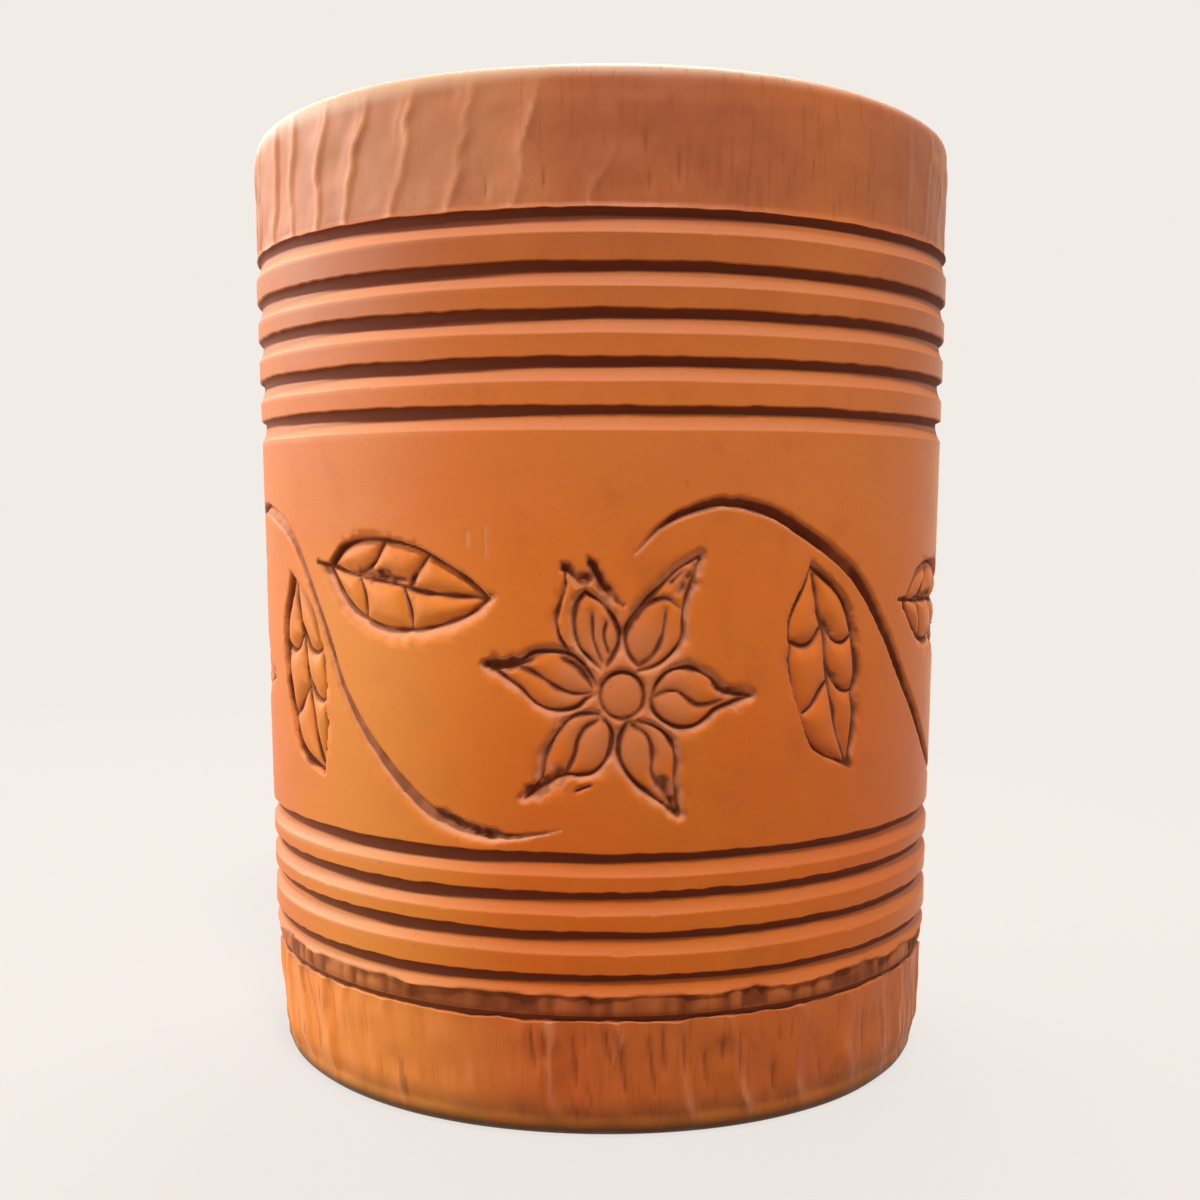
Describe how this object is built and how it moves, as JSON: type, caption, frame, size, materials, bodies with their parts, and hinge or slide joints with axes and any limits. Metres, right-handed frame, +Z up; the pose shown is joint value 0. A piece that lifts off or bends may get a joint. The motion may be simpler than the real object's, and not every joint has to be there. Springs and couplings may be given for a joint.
{
  "type": "kulhad cup",
  "caption": "Straight-sided, slightly flared drinking cup of unglazed fired clay, with turned rings above and below a band carved with a vine of leaves and flowers.",
  "frame": {"origin": "centre of the standing ring, at the surface that the cup rests on", "axes": "+Z up along the cup's axis; a viewer who looks along +Y sees the whole flower of the carving"},
  "size_m": [0.076, 0.0758, 0.097],
  "materials": {
    "burnished_clay": "satin burnished terracotta",
    "raw_clay": "matte raw terracotta",
    "slip_clay": "matte terracotta smoothed with slip"
  },
  "bodies": {
    "root": {"wall": "burnished_clay", "floor_disc": "raw_clay", "seam_coil": "slip_clay"}
  },
  "joints": []
}
